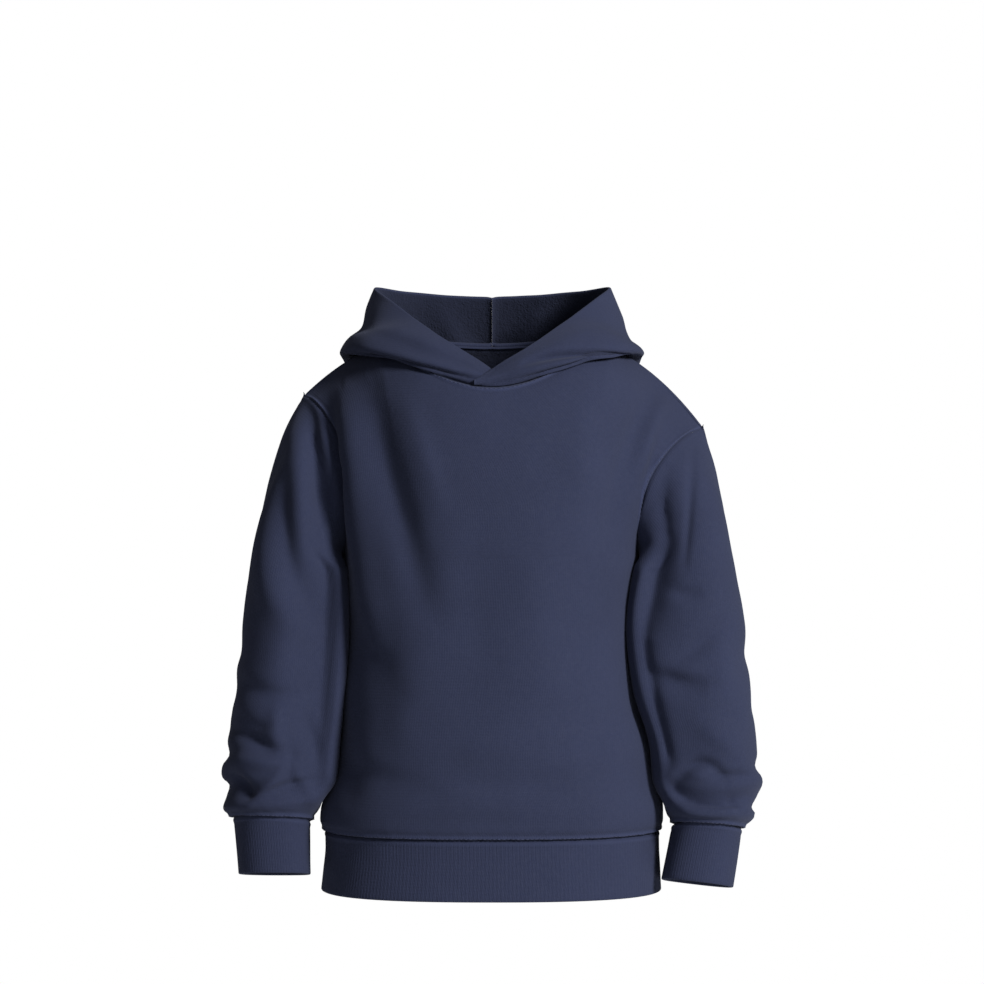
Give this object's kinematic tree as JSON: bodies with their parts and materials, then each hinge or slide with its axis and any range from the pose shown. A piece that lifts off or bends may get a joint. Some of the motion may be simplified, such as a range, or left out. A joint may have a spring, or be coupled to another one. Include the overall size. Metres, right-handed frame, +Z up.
{
  "type": "toddler hoodie",
  "caption": "Toddler's navy fleece pullover hoodie in its worn, hollow form, crossover hood lying back, long sleeves, rib cuffs and a rib hem band.",
  "frame": {"origin": "middle of the neck at the height of the highest point of the shoulder line, where a wearer holds the garment up", "axes": "+X towards the right of someone who faces the front (the wearer's left), -Y out of the front, +Z up from the hem to the hood"},
  "size_m": [0.3749, 0.2274, 0.4214],
  "materials": {
    "navy_fleece": "matte brushed fleece",
    "navy_rib": "matte fine rib knit"
  },
  "bodies": {
    "root": {"front": "navy_fleece", "back": "navy_fleece", "sleeve_left": "navy_fleece", "sleeve_right": "navy_fleece", "cuff_left": "navy_rib", "cuff_right": "navy_rib", "hem_band": "navy_rib", "hood_left": "navy_fleece", "hood_right": "navy_fleece"}
  },
  "joints": []
}
